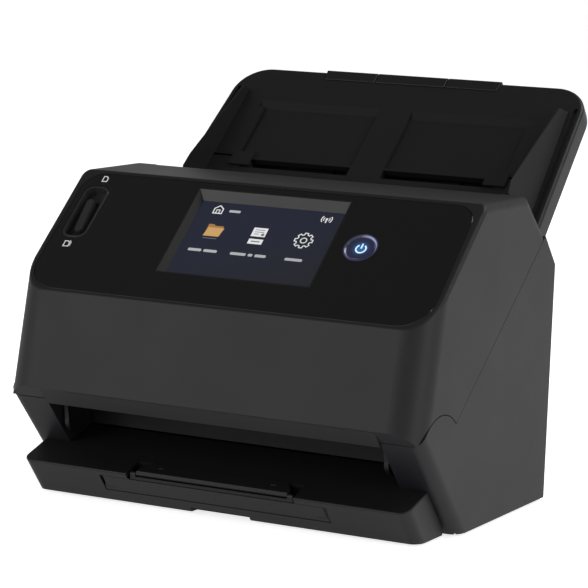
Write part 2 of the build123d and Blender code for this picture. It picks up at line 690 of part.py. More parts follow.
# ---------------------------------------------------------------- feed selection lever
lever_x = (lever_window[0] + lever_window[1]) / 2
lever_s = (lever_window[2] + lever_window[3]) / 2
lever_w = lever_window[1] - lever_window[0]
lever_h = lever_window[3] - lever_window[2]
with BuildPart() as lever_bezel:
    with BuildSketch(panel_plane.offset(-7.0)):
        with Locations((lever_x, lever_s)):
            RectangleRounded(lever_w - 0.2, lever_h - 0.2, 6.9)
    extrude(amount=7.0)
    outer_rim = lever_bezel.faces().sort_by(lambda f: f.center().dot(Vector(0, -panel_s, panel_c)))[-1]
    chamfer(outer_rim.edges(), 0.4)
    with BuildSketch(panel_plane.offset(-5.8)):
        with Locations((lever_x, lever_s)):
            RectangleRounded(lever_w - 3.4, lever_h - 3.4, 5.4)
    extrude(amount=6.0, mode=Mode.SUBTRACT)
    with BuildSketch(panel_plane.offset(-8.0)):
        with Locations((lever_x, lever_s)):
            RectangleRounded(4.4, 26.0, 2.1)
    extrude(amount=4.0, mode=Mode.SUBTRACT)
finish(lever_bezel, "lever_bezel")

with BuildPart() as feed_lever:
    with BuildSketch(panel_plane.offset(-5.5)):
        with Locations(Location((lever_x + 0.2, lever_s - 3.0, 0), (0, 0, 5.0))):
            SlotOverall(30.0, 6.4, rotation=90)
    extrude(amount=5.3, taper=8.0)
    with BuildSketch(panel_plane.offset(-11.0)):
        with Locations((lever_x, lever_s - 3.0)):
            RectangleRounded(3.4, 14.0, 1.5)
    extrude(amount=6.0)
finish(feed_lever, "feed_selection_lever")

# ---------------------------------------------------------------- cover inner parts
inner_line = [(-125.0, 66.2), (-100.0, 62.6), path_yz(-24.0, path_gap), path_yz(120.0, path_gap),
              (25.6, 158.0), (16.2, 198.0), (16.2, 202.6)]
outer_line = [(13.4, 202.6), (13.4, 197.5), (22.6, 157.0), path_yz(117.6, path_gap + 2.4),
              path_yz(-22.6, path_gap + 2.4), (-100.2, 65.4), (-124.0, 69.0)]
with BuildPart() as upper_guide:
    with BuildSketch(Plane.YZ):
        side_face(inner_line + outer_line)
    extrude(amount=paper_half, both=True)
    for t, width, places, length in (
        (feed_axis[0], 30.0, [0.0], 17.0),
        (rear_drive_axis[0], 16.0, [-75.0, -38.0, 38.0, 75.0], 12.0),
        (front_drive_axis[0], 16.0, [-75.0, -38.0, 38.0, 75.0], 12.0),
    ):
        with BuildSketch(path_plane.offset(0.5)):
            with Locations(*[(x, t) for x in places]):
                RectangleRounded(width, length, 1.5)
        extrude(amount=5.0, mode=Mode.SUBTRACT)
    with BuildSketch(path_plane.offset(0.5)):
        with Locations((0.0, 61.0)):
            Rectangle(2 * sheet_half + 0.8, 16.0)
    extrude(amount=5.0, mode=Mode.SUBTRACT)
finish(upper_guide, "upper_paper_guide")

# side plates of the cover: they carry the guide, the rollers and the hinge pins
with BuildPart() as cover_plates:
    for side in (-1, 1):
        with BuildSketch(Plane.YZ.offset(side * (paper_half + 0.2))):
            with Locations((pivot_y, pivot_z)):
                Circle(8.5)
            side_face([(-109.4, 51.0), (-92.6, 50.0), path_yz(-16.0, path_gap), path_yz(118.0, path_gap),
                       path_yz(116.0, 34.0), path_yz(60.0, 30.0), path_yz(10.0, 26.0), (-112.0, 92.0),
                       (-114.0, 70.0)])
        extrude(amount=side * 3.0)
        with BuildSketch(across(pivot_y, pivot_z, side * (paper_half + 0.2))):
            Circle(hinge_pin_radius)
        extrude(amount=side * 11.0)
    for axis in ((feed_axis[0], 10.9), (rear_drive_axis[0], 7.0), (front_drive_axis[0], 7.0)):
        axis_y, axis_z = path_yz(axis[0], axis[1])
        with BuildSketch(across(axis_y, axis_z)):
            Circle(2.0 + running_gap)
        extrude(amount=120.0, both=True, mode=Mode.SUBTRACT)
finish(cover_plates, "cover_side_plates")

for t, w, radius, places, width, name in (
    (feed_axis[0], 10.9, 10.0, [0.0], 26.0, "retard_roller"),
    (rear_drive_axis[0], 7.0, 6.0, [-75.0, -38.0, 38.0, 75.0], 13.0, "rear_pinch_roller"),
    (front_drive_axis[0], 7.0, 6.0, [-75.0, -38.0, 38.0, 75.0], 13.0, "front_pinch_roller"),
):
    axis_y, axis_z = path_yz(t, w)
    with BuildPart() as pinch_shaft:
        with BuildSketch(across(axis_y, axis_z, -118.0)):
            Circle(2.0)
        extrude(amount=236.0)
    finish(pinch_shaft, f"{name}_shaft")
    with BuildPart() as pinch_tyres:
        for x in places:
            with BuildSketch(across(axis_y, axis_z, x - width / 2)):
                Circle(radius)
                Circle(2.0, mode=Mode.SUBTRACT)
            extrude(amount=width)
    finish(pinch_tyres, f"{name}_tyres")

# ---------------------------------------------------------------- feed tray
notch_half = 66.7
handle_foot = tray_length - 8.2
plate_foot = tray_length - 110.5
with BuildPart() as feed_tray:
    with BuildSketch(tray_plane.offset(-tray_thickness + tray_back + 0.4)) as tray_outline:
        Polygon(*tray_corners(0.0, tray_length, 0.0), align=None)
        fillet(tray_outline.vertices().sort_by(Axis.Y)[-2:], 25.0)
        fillet(tray_outline.vertices().sort_by(Axis.Y)[:2], 3.4)
    extrude(amount=tray_thickness - tray_back - 0.4)
    normal = Vector(0, -tray_s, tray_c)
    face_edges = feed_tray.faces().sort_by(lambda f: f.center().dot(normal))[-1].edges()
    fillet(face_edges, 2.5)
    # hollow behind the face
    with BuildSketch(tray_plane.offset(-tray_thickness)) as tray_hollow:
        Polygon(*tray_corners(14.0, tray_length - 3.0, 3.0), align=None)
        fillet(tray_hollow.vertices().sort_by(Axis.Y)[-2:], 22.0)
    extrude(amount=tray_thickness - 4.6, mode=Mode.SUBTRACT)
    # two shallow pockets with ramped tops, their outer ends square for the guides' flanges,
    # and a slot along the foot of each pocket
    for side in (-1, 1):
        with BuildSketch(Plane.YZ.offset(side * 12.1)):
            side_face([tray_yz(60.0, 0.5), tray_yz(60.0, -2.2), tray_yz(110.0, -2.2), tray_yz(117.7, 0.5)])
        extrude(amount=side * 93.0, mode=Mode.SUBTRACT)
        with BuildSketch(Plane.YZ.offset(side * 104.0)):
            side_face([tray_yz(60.0, 0.5), tray_yz(60.0, -2.2), tray_yz(110.0, -2.2), tray_yz(110.0, 0.5)])
        extrude(amount=side * 18.0, mode=Mode.SUBTRACT)
        with BuildSketch(tray_plane.offset(-6.0)):
            with Locations((side * 53.8, 54.2)):
                Rectangle(82.6, 7.8)
        extrude(amount=8.0, mode=Mode.SUBTRACT)
        # groove beside the rim
        with BuildSketch(tray_plane.offset(-1.6)):
            with Locations((side * 131.0, 78.0)):
                SlotOverall(104.0, 2.8, rotation=90 + side * 2.65)
        extrude(amount=3.0, mode=Mode.SUBTRACT)
    # notch and way out for the extension handle
    with BuildSketch(tray_plane.offset(-12.0)):
        Polygon((-notch_half - 1.6, tray_length + 9.5), (-notch_half, handle_foot - 0.4),
                (notch_half, handle_foot - 0.4), (notch_half + 1.6, tray_length + 9.5), align=None)
    extrude(amount=14.0, mode=Mode.SUBTRACT)
    # bearings for the hinge pins
    hinge_y, hinge_z = tray_yz(*tray_hinge)
    with BuildSketch(across(hinge_y, hinge_z)):
        Circle(3.0)
    extrude(amount=143.0, both=True, mode=Mode.SUBTRACT)
finish(feed_tray, "feed_tray_face")

with BuildPart() as tray_cover:
    with BuildSketch(tray_plane.offset(-tray_thickness)) as cover_outline:
        Polygon(*tray_corners(13.0, tray_length - 0.2, 0.4), align=None)
        fillet(cover_outline.vertices().sort_by(Axis.Y)[-2:], 24.6)
    extrude(amount=tray_back)
    back_edges = tray_cover.faces().sort_by(lambda f: f.center().dot(normal))[0].edges()
    fillet(back_edges, 1.0)
    with BuildSketch(tray_plane.offset(-tray_thickness)):
        with GridLocations(220.0, 80.0, 2, 2):
            with Locations((0.0, 78.0)):
                Circle(1.4)
    extrude(amount=tray_back, mode=Mode.SUBTRACT)
finish(tray_cover, "feed_tray_back")

with BuildPart() as tray_screws:
    with BuildSketch(tray_plane.offset(-tray_thickness - 1.0)):
        with GridLocations(220.0, 80.0, 2, 2):
            with Locations((0.0, 78.0)):
                Circle(2.6)
    extrude(amount=1.0)
    with BuildSketch(tray_plane.offset(-tray_thickness)):
        with GridLocations(220.0, 80.0, 2, 2):
            with Locations((0.0, 78.0)):
                Circle(1.35)
    extrude(amount=5.0)
finish(tray_screws, "feed_tray_screws")

with BuildPart() as tray_pins:
    for side in (-1, 1):
        with BuildSketch(across(hinge_y, hinge_z, side * 122.0)):
            Circle(3.0)
        extrude(amount=side * 22.0)
finish(tray_pins, "feed_tray_pins")

# ---------------------------------------------------------------- document guides
# Tall fins beside the sheets. The inner side stands upright on the tray; the outer side slants
# down from the tip to the foot. A flange slides in the tray's pocket, a tab carries the leg
# that goes through the slot to the rack.
fin_profile = [tray_yz(31.2, 0.35), tray_yz(25.4, 22.8), tray_yz(36.0, 24.2), tray_yz(79.0, 16.2),
               tray_yz(121.6, 7.8), tray_yz(126.0, 0.35)]
fin_inner = 119.4
fin_slant = 0.44
fin_fall = 0.156
for side, name in ((-1, "left"), (1, "right")):
    outward = Vector(side, fin_slant * (fin_fall * tray_c - tray_s), fin_slant * (fin_fall * tray_s + tray_c))
    with BuildPart() as guide:
        with BuildSketch(Plane.YZ.offset(side * fin_inner)):
            side_face(fin_profile)
        extrude(amount=side * 11.6)
        split(bisect_by=Plane((side * (fin_inner + 1.6), *fin_profile[1]), z_dir=outward), keep=Keep.BOTTOM)
        with BuildSketch(tray_plane.offset(-1.7)):
            with Locations((side * 110.2, 85.2)):
                Rectangle(19.6, 48.4)
        extrude(amount=2.4)
        with BuildSketch(tray_plane.offset(0.35)):
            with Locations((side * 96.0, 57.7)):
                Rectangle(16.0, 12.6)
        extrude(amount=1.2)
        with BuildSketch(tray_plane.offset(-8.0)):
            with Locations((side * 91.0, 53.5)):
                Rectangle(6.0, 4.6)
        extrude(amount=9.0)
    finish(guide, f"{name}_document_guide")
    with BuildPart() as rack:
        rack_s = 53.5 + side * 7.1
        far = -side * 8.0
        with BuildSketch(tray_plane.offset(-8.0)):
            with Locations(((side * 112.0 + far) / 2, rack_s + side * 1.6)):
                Rectangle(abs(side * 112.0 - far), 3.0)
            with Locations((side * 91.0, (53.5 + side * 2.3 + rack_s + side * 2.7) / 2)):
                Rectangle(6.0, abs(rack_s + side * 2.7 - 53.5 - side * 2.3))
            for k in range(18):
                x = side * (k - 1.5) * math.pi
                tip = rack_s - side * 1.9
                root = rack_s + side * 0.4
                Polygon((x - 0.95, root), (x + 0.95, root), (x + 0.35, tip), (x - 0.35, tip), align=None)
        extrude(amount=2.6)
    finish(rack, f"{name}_guide_rack")

# pinion that ties the two racks together: twelve teeth of one millimetre module
pinion_y, pinion_z = tray_yz(53.5, 0.0)
with BuildPart() as guide_pinion:
    with BuildSketch(tray_plane.offset(-8.0)):
        with Locations((0.0, 53.5)):
            Circle(4.9)
            with PolarLocations(0.0, 12):
                Polygon((4.6, -0.95), (6.1, -0.62), (7.0, -0.3), (7.0, 0.3), (6.1, 0.62), (4.6, 0.95),
                        align=None)
            Circle(1.55, mode=Mode.SUBTRACT)
    extrude(amount=2.6)
finish(guide_pinion, "guide_pinion")

with BuildPart() as pinion_post:
    with BuildSketch(tray_plane.offset(-11.0)):
        with Locations((0.0, 53.5)):
            Circle(1.5)
    extrude(amount=6.4)
    with BuildSketch(tray_plane.offset(-8.6)):
        with Locations((0.0, 53.5)):
            Circle(3.0)
    extrude(amount=0.5)
finish(pinion_post, "pinion_post")

# ---------------------------------------------------------------- feed tray extension
with BuildPart() as feed_ext_outer:
    with BuildSketch(tray_plane.offset(-11.3)):
        with Locations((0.0, plate_foot + 52.0)):
            Rectangle(2 * notch_half - 2.0, 104.0)
        with Locations((0.0, plate_foot + 42.0)):
            Rectangle(60.0, 90.0, mode=Mode.SUBTRACT)
    extrude(amount=1.2)
    for side in (-1, 1):
        with BuildSketch(tray_plane.offset(-11.3)) as handle_end:
            Polygon((side * 27.1, handle_foot), (side * (notch_half - 0.5), handle_foot),
                    (side * (notch_half + 0.4), tray_length + 0.9), (side * 27.1, tray_length + 0.9),
                    align=None)
        extrude(amount=11.9)
    ends = feed_ext_outer.edges().filter_by(lambda e: e.center().dot(normal) > Vector(0, *tray_yz(145, 0.3)).dot(normal))
    fillet(ends, 0.8)
finish(feed_ext_outer, "feed_extension_outer")

with BuildPart() as feed_ext_inner:
    with BuildSketch(tray_plane.offset(-9.8)):
        with Locations((0.0, plate_foot + 78.5)):
            Rectangle(50.0, 53.0)
    extrude(amount=1.4)
    with BuildSketch(tray_plane.offset(-9.8)):
        with Locations((0.0, handle_foot + 4.55)):
            Rectangle(53.2, 9.1)
    extrude(amount=10.4)
    ends = feed_ext_inner.edges().filter_by(lambda e: e.center().dot(normal) > Vector(0, *tray_yz(145, 0.3)).dot(normal))
    fillet(ends, 0.8)
finish(feed_ext_inner, "feed_extension_inner")

# ---------------------------------------------------------------- output tray
slope_c, slope_s = polar(math.degrees(math.atan2(tray_top_back[1] - rim_front[1], tray_top_back[0] - rim_front[0])))


def slope_yz(d, h):
    """d back from the rim along the tray's top, h above it."""
    return (rim_front[0] + d * slope_c - h * slope_s, rim_front[1] + d * slope_s + h * slope_c)


with BuildPart() as output_tray:
    with BuildSketch(Plane.YZ):
        side_face([toe, rim_front, tray_top_back, (-72.5, 2.0)])
    extrude(amount=rim_half, both=True)
    front_corners = output_tray.edges().filter_by(
        lambda e: abs(abs(e.center().X) - rim_half) < 0.1 and e.center().Y < -110.0 and e.center().Z < 20.0)
    fillet(front_corners, 7.0)
    rim_edges = output_tray.edges().filter_by(
        lambda e: e.center().Z > 24.0 and e.center().Y < -95.0 and e.length > 5.0)
    fillet(rim_edges, 1.0)
    # the wings of the base stand behind the outer thirds
    for side in (-1, 1):
        with BuildSketch(Plane.YZ.offset(side * (mouth_half - 0.4))):
            side_face([(-68.4, 0.0), (-68.4, 2.0), (-130.0, 67.2), (-60.0, 67.2), (-60.0, 0.0)])
        extrude(amount=side * 30.0, mode=Mode.SUBTRACT)
    # hollow under the top
    with BuildSketch(Plane.YZ):
        side_face([(-104.0, 25.0), slope_yz(20.0, -2.6), slope_yz(54.2, -2.6), (-75.0, 25.0)])
    extrude(amount=mouth_half - 4.0, both=True, mode=Mode.SUBTRACT)
    # hollow of the outer ends, open below
    for side in (-1, 1):
        with BuildSketch(Plane.YZ.offset(side * 84.0)):
            side_face([(-106.0, 0.0), (-108.0, 7.0), (-118.5, 22.0), slope_yz(12.0, -2.6), (-88.0, 27.0),
                       (-75.0, 14.0), (-75.0, 0.0)])
        extrude(amount=side * 30.0, mode=Mode.SUBTRACT)
    # sleeve that reaches back over the base plate
    with BuildSketch(Plane.XZ.offset(72.6)):
        with Locations((0.0, 16.6)):
            Rectangle(2 * first_half + 8.0, 19.6)
    extrude(amount=-92.0)
    # channels of the two pull-out plates
    with BuildSketch(Plane.XZ.offset(140.0)):
        with Locations((0.0, 16.3)):
            Rectangle(2 * first_half + 0.8, 8.8)
        with Locations((0.0, 22.1)):
            Rectangle(2 * second_half + 0.8, 3.0)
    extrude(amount=-170.0, mode=Mode.SUBTRACT)
    # seat of the front strip of the first plate
    with BuildSketch(Plane.YZ):
        side_face([(-135.0, 9.6), (-105.5, 9.6), (-114.2, 20.7), (-135.0, 20.7)])
    extrude(amount=first_half + 0.4, both=True, mode=Mode.SUBTRACT)
    # seat of the folded stopper
    with BuildSketch(Plane.YZ):
        side_face([(-140.0, 20.4), slope_yz(17.2, -8.5), slope_yz(17.2, 2.0), (-140.0, 34.0)])
    extrude(amount=second_half + 1.4, both=True, mode=Mode.SUBTRACT)
    # finger recess under the front edge
    with BuildSketch(Plane.YZ):
        side_face([(-115.0, 0.0), (-115.0, 5.0), (-100.0, 5.0), (-100.0, 0.0)])
    extrude(amount=21.0, both=True, mode=Mode.SUBTRACT)
finish(output_tray, "output_tray")

with BuildPart() as first_plate:
    with BuildSketch(Plane.XZ.offset(116.0)):
        with Locations((0.0, 19.3)):
            Rectangle(2 * first_half - 0.4, 2.2)
        for side in (-1, 1):
            with Locations((side * (first_half - 4.2), 16.4)):
                Rectangle(8.0, 8.0)
    extrude(amount=-130.0)
    with BuildSketch(Plane.YZ):
        side_face([(-113.6, 10.0), (-110.0, 10.0), (-116.0, 20.4), (-122.6, 20.4)])
    extrude(amount=first_half - 0.2, both=True)
    strip_corner = first_plate.edges().filter_by(
        lambda e: abs(abs(e.center().X) - first_half + 0.2) < 0.1 and -119.5 < e.center().Y < -116.5
        and e.length > 9.0)
    fillet(strip_corner.sort_by(Axis.Y)[:2], 2.6)
finish(first_plate, "output_extension_first")

with BuildPart() as second_plate:
    with BuildSketch(Plane.XZ.offset(122.4)):
        with Locations((0.0, 21.9)):
            Rectangle(2 * second_half - 0.4, 2.2)
    extrude(amount=-124.0)
    with BuildSketch(Plane.YZ):
        with Locations((-121.4, 24.2)):
            Circle(1.6)
        side_face([(-123.0, 22.4), (-119.8, 22.4), (-119.8, 24.2), (-123.0, 24.2)])
    extrude(amount=second_half - 0.4, both=True)
    with BuildSketch(Plane.YZ):
        side_face([(-126.0, 22.8), (-118.0, 22.8), (-118.0, 27.0), (-126.0, 27.0)])
    extrude(amount=second_half - 4.0, both=True, mode=Mode.SUBTRACT)
    with BuildSketch(across(-121.4, 24.2)):
        Circle(0.9 + running_gap)
    extrude(amount=second_half, both=True, mode=Mode.SUBTRACT)
finish(second_plate, "output_extension_second")

with BuildPart() as stopper:
    with BuildSketch(Plane.YZ):
        with Locations((-121.4, 24.2)):
            Circle(0.9)
    extrude(amount=second_half - 0.8, both=True)
    with BuildSketch(Plane.YZ):
        with Locations((-121.4, 24.4)):
            Circle(1.15)
        side_face([(-121.4, 23.3), (-110.0, 26.4), slope_yz(16.6, -0.6), slope_yz(16.2, 0.5),
                   slope_yz(4.6, 0.5), (-122.5, 24.6)])
    extrude(amount=second_half - 4.4, both=True)
    with BuildSketch(Plane.XY.offset(20.0)):
        for side in (-1, 1):
            Polygon((side * 46.0, -108.0), (side * 53.6, -118.0), (side * 62.0, -118.0),
                    (side * 62.0, -108.0), align=None)
            with Locations((side * 40.0, -116.0)):
                Rectangle(4.6, 1.6)
    extrude(amount=14.0, mode=Mode.SUBTRACT)
finish(stopper, "document_stopper")
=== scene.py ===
# %% [markdown]
# # A desktop document scanner
# The machine is a black moulded base, a front cover with a glossy sloping control panel, a feed tray
# that leans back behind it and a flat output tray in front. The hard parts come ready made as the
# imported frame, one object for each part. This lesson gives each of them its finish, adds the printed
# and lit signs that are too thin to be parts of their own, and sets up the studio.

# %% Load the frame
import json
import math

import bmesh
import bpy
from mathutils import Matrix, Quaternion, Vector


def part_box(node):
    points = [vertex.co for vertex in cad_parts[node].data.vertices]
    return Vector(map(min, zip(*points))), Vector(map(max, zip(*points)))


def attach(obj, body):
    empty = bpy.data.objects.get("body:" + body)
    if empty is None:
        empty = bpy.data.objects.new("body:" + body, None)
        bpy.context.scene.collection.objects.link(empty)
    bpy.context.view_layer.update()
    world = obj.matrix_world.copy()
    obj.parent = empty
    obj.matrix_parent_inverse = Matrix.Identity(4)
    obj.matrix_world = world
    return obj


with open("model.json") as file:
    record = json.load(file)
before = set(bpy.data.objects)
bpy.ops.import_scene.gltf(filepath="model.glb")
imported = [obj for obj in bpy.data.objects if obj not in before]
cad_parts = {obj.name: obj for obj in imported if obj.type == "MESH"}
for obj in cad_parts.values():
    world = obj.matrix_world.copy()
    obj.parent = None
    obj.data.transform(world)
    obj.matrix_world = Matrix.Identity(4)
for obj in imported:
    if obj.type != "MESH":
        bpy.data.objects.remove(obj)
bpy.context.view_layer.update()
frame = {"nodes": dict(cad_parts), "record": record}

# %% [markdown]
# ## Camera
# The machine is seen from its front right, a little above the desk, through a long lens, so that its
# upright edges stay almost parallel. A camera could be dragged into place by hand. Here it is placed
# by numbers a photographer would note down: the point it looks at, its distance, the two angles and a
# small tilt of the camera on its tripod.

# %% Camera
camera_target = Vector((-0.009, -0.01295, 0.1304))
camera_distance = 1.794
camera_azimuth = math.radians(26.95)
camera_height_angle = math.radians(7.96)
camera_tilt = math.radians(2.16)

towards_camera = Vector((
    math.sin(camera_azimuth) * math.cos(camera_height_angle),
    -math.cos(camera_azimuth) * math.cos(camera_height_angle),
    math.sin(camera_height_angle),
))
camera = bpy.data.objects.new("studio_camera", bpy.data.cameras.new("studio_camera"))
bpy.context.scene.collection.objects.link(camera)
camera.data.sensor_width = 36.0
camera.data.lens = 167.06
camera.location = camera_target + towards_camera * camera_distance
camera.rotation_mode = "QUATERNION"
camera.rotation_quaternion = towards_camera.to_track_quat("Z", "Y") @ Quaternion((0, 0, 1), camera_tilt)
bpy.context.scene.camera = camera
bpy.context.scene.view_settings.view_transform = "Standard"
print("the camera stands at", [round(value, 3) for value in camera.location])

# %% [markdown]
# ## Writing shader maths as plain expressions
# A finish is a small graph of nodes, and wiring it by hand takes many lines. The class below wraps one
# socket, so that `1 - mask` or `height * 2` adds the Math node that does it. The second class holds a
# graph and has one method that adds any other node.

# %% A socket that can be reckoned with
class Strand:
    """One output of a node graph. Adding, subtracting, multiplying or dividing it adds Math nodes."""

    def __init__(self, graph, socket):
        self.graph = graph
        self.socket = socket

    def other(self, name):
        """Another output of the same node."""
        return Strand(self.graph, self.socket.node.outputs[name])

    def maths(self, operation, first, second=0.0):
        return self.graph.node("ShaderNodeMath", {"operation": operation}, {0: first, 1: second})

    def __add__(self, value):
        return self.maths("ADD", self, value)

    def __sub__(self, value):
        return self.maths("SUBTRACT", self, value)

    def __rsub__(self, value):
        return self.maths("SUBTRACT", value, self)

    def __mul__(self, value):
        return self.maths("MULTIPLY", self, value)

    def __truediv__(self, value):
        return self.maths("DIVIDE", self, value)

    def __rtruediv__(self, value):
        return self.maths("DIVIDE", value, self)

    def __pow__(self, value):
        return self.maths("POWER", self, value)

    def __abs__(self):
        return self.maths("ABSOLUTE", self)

    __radd__ = __add__
    __rmul__ = __mul__


# %% A graph with one method for every other node
class Graph:
    """A node tree being filled in. The settings of a node are set before its sockets."""

    def __init__(self, tree):
        self.tree = tree
        self.tree.nodes.clear()

    def node(self, kind, settings=None, sockets=None, out=0):
        made = self.tree.nodes.new(kind)
        for name, value in (settings or {}).items():
            if name == "stops":
                ramp = made.color_ramp
                while len(ramp.elements) < len(value):
                    ramp.elements.new(0.5)
                for element, (position, level) in zip(ramp.elements, value):
                    element.position = position
                    element.color = (level, level, level, 1.0)
            else:
                setattr(made, name, value)
        for key, value in (sockets or {}).items():
            socket = made.inputs[key] if isinstance(key, int) else next(
                s for s in made.inputs if s.name == key and s.enabled)
            if isinstance(value, Strand):
                self.tree.links.new(value.socket, socket)
            else:
                socket.default_value = value
        if not len(made.outputs):
            return None
        if isinstance(out, int):
            return Strand(self, [s for s in made.outputs if s.enabled][out])
        return Strand(self, made.outputs[out])

    def blend(self, share, first, second):
        """A colour between two colours: the first where share is 0, the second where it is 1."""
        return self.node("ShaderNodeMix", {"data_type": "RGBA"}, {"Factor": share, "A": first, "B": second})

    def between(self, value, low, high):
        """0 below low, 1 above high, and an even slope in between."""
        return self.node("ShaderNodeMapRange", {"clamp": True}, {
            "Value": value, "From Min": low, "From Max": high})

    def noise(self, place, size_mm, detail=2.0, roughness=0.5):
        """Cloudy noise whose lumps are about size_mm across."""
        return self.node("ShaderNodeTexNoise", {}, {
            "Vector": place, "Scale": 1000.0 / size_mm, "Detail": detail, "Roughness": roughness})


def grey(level):
    return (level, level, level, 1.0)


def tone(colour, factor):
    """The same colour, lighter or darker."""
    return (colour[0] * factor, colour[1] * factor, colour[2] * factor, 1.0)


# %% [markdown]
# Every finish ends in one Principled shader. Positions are read in object coordinates, which are metres
# in the frame's own axes here, so that a grain of half a millimetre is asked for as half a millimetre
# and stays on its part when the part moves.

# %% Starting and closing a finish
def start_finish(name):
    material = bpy.data.materials.new(name)
    material.use_nodes = True
    graph = Graph(material.node_tree)
    place = graph.node("ShaderNodeTexCoord", out="Object")
    return material, graph, place


def close_finish(graph, sockets):
    shader = graph.node("ShaderNodeBsdfPrincipled", {}, sockets)
    graph.node("ShaderNodeOutputMaterial", {}, {"Surface": shader})


def dents(graph, height, depth_mm):
    """A bump of so many millimetres, for the Normal socket."""
    return graph.node("ShaderNodeBump", {}, {
        "Strength": 1.0, "Distance": depth_mm / 1000.0, "Height": height})


# %% [markdown]
# ## Moulded plastic
# The cover, base and trays are black plastic from a mould with a spark-eroded surface: a fine even
# grain, and here and there a slight cloudiness where the plastic flowed. Two noises of grain size make
# the bump, and a broad one shifts the tone and the roughness by a few percent. Black plastic of this
# kind is dull, so its mirror-like share is turned down to about half of the usual one.

# %% Moulded plastic
def moulded_plastic(name, colour, roughness, grain_mm, depth_mm, cloud=0.10):
    material, graph, place = start_finish(name)
    clouds = graph.noise(place, 45.0, 3.0)
    grain = graph.noise(place, grain_mm, 3.0, 0.62)
    pits = graph.node("ShaderNodeTexVoronoi", {"feature": "SMOOTH_F1"}, {
        "Vector": place, "Scale": 1000.0 / (grain_mm * 1.3), "Smoothness": 0.6}, out="Distance")
    share = clouds * 0.6 + grain * 0.4
    close_finish(graph, {
        "Base Color": graph.blend(share, tone(colour, 1 - cloud), tone(colour, 1 + cloud)),
        "Roughness": (clouds - 0.5) * 0.10 + (grain - 0.5) * 0.08 + roughness,
        "Normal": dents(graph, grain * 0.65 + pits * 0.5, depth_mm),
        "IOR": 1.48,
        "Specular IOR Level": 0.26,
    })
    return material


cover_colour = (0.0105, 0.0105, 0.0118)
base_colour = (0.0105, 0.0105, 0.0122)
tray_colour = (0.0085, 0.0085, 0.0093)
inner_colour = (0.0022, 0.0022, 0.0024)
finishes = {
    "cover_plastic": moulded_plastic("cover_moulded_black", cover_colour, 0.50, 0.55, 0.030),
    "base_plastic": moulded_plastic("base_moulded_black", base_colour, 0.50, 0.55, 0.030),
    "tray_plastic": moulded_plastic("tray_moulded_black", tray_colour, 0.46, 0.50, 0.022),
    "inner_plastic": moulded_plastic("inner_matte_black", inner_colour, 0.58, 0.90, 0.018),
    "inlet_black": moulded_plastic("socket_black", (0.008, 0.008, 0.008), 0.38, 0.70, 0.010),
}
print("moulded finishes:", sorted(finishes))

# %% [markdown]
# ## The glossy control panel
# The sloping plate is piano black: a dark base under a clear, very even gloss. Real gloss panels are
# never quite flat, so a long shallow wave bends the reflections a little, and a faint haze of handling
# makes the roughness uneven.

# %% Glossy plates
def gloss_plate(name, colour, roughness, haze, wave_mm):
    material, graph, place = start_finish(name)
    wave = graph.noise(place, wave_mm, 1.0)
    smear = graph.noise(place, 14.0, 4.0, 0.7)
    close_finish(graph, {
        "Base Color": graph.blend(smear, tone(colour, 0.9), tone(colour, 1.1)),
        "Roughness": graph.between(smear, 0.35, 0.8) * haze + roughness,
        "Normal": dents(graph, wave, 0.05),
        "IOR": 1.5,
    })
    return material


finishes["panel_gloss"] = gloss_plate("panel_piano_black", (0.0042, 0.0042, 0.0042, 1), 0.10, 0.05, 30.0)
finishes["screen_frame_grey"] = moulded_plastic(
    "screen_frame_satin", (0.0095, 0.0095, 0.0088), 0.36, 0.35, 0.008, 0.06)
finishes["lever_grey"] = moulded_plastic("lever_satin", (0.022, 0.022, 0.022), 0.30, 0.40, 0.006, 0.06)
print("the panel, the frame of the screen and the lever have their finishes")

# %% [markdown]
# ## Where things lie on the panel
# Signs, screen and button are laid out on the slope of the panel: x across, and a distance up the slope
# from its lower edge. The foot of the slope and its rise are the same two sizes that the panel was
# drawn with, and the box of the panel part is printed beside them as a check.

# %% The slope of the panel
panel_low, panel_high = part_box("control_panel")
panel_foot = Vector((0.0, -0.13695, 0.1354))
panel_up = Vector((0.0, 79.4, 70.4)).normalized()
panel_out = Vector((0.0, -panel_up.z, panel_up.y))
millimetre = 0.001
print("the panel slopes by", round(math.degrees(math.atan2(panel_up.z, panel_up.y)), 1), "degrees")
print("its plate reaches from", [round(v, 4) for v in panel_low], "to", [round(v, 4) for v in panel_high])


def on_panel(x, up, out=0.0):
    """A point of the panel in metres: x across, up the slope and out of the surface in millimetres."""
    return panel_foot + (Vector((x, 0, 0)) + panel_up * up + panel_out * out) * millimetre


def panel_reading(graph, place):
    """Strands for x across and the distance up the slope, both in millimetres."""
    parts = graph.node("ShaderNodeSeparateXYZ", {}, {"Vector": place})
    across = parts * 1000.0
    back = parts.other("Y") - panel_foot.y
    rise = parts.other("Z") - panel_foot.z
    return across, (back * panel_up.y + rise * panel_up.z) * 1000.0


# %% [markdown]
# ## The lit screen
# The display is glass over a lit picture. The picture's dark blue ground fades to grey at its lower
# right and along its edges, as such displays do when seen from the side. The signs on it are separate
# thin pieces, made further down.

# %% The lit screen
screen_left, screen_right, screen_foot, screen_head = -50.0, 54.5, 28.0, 91.5


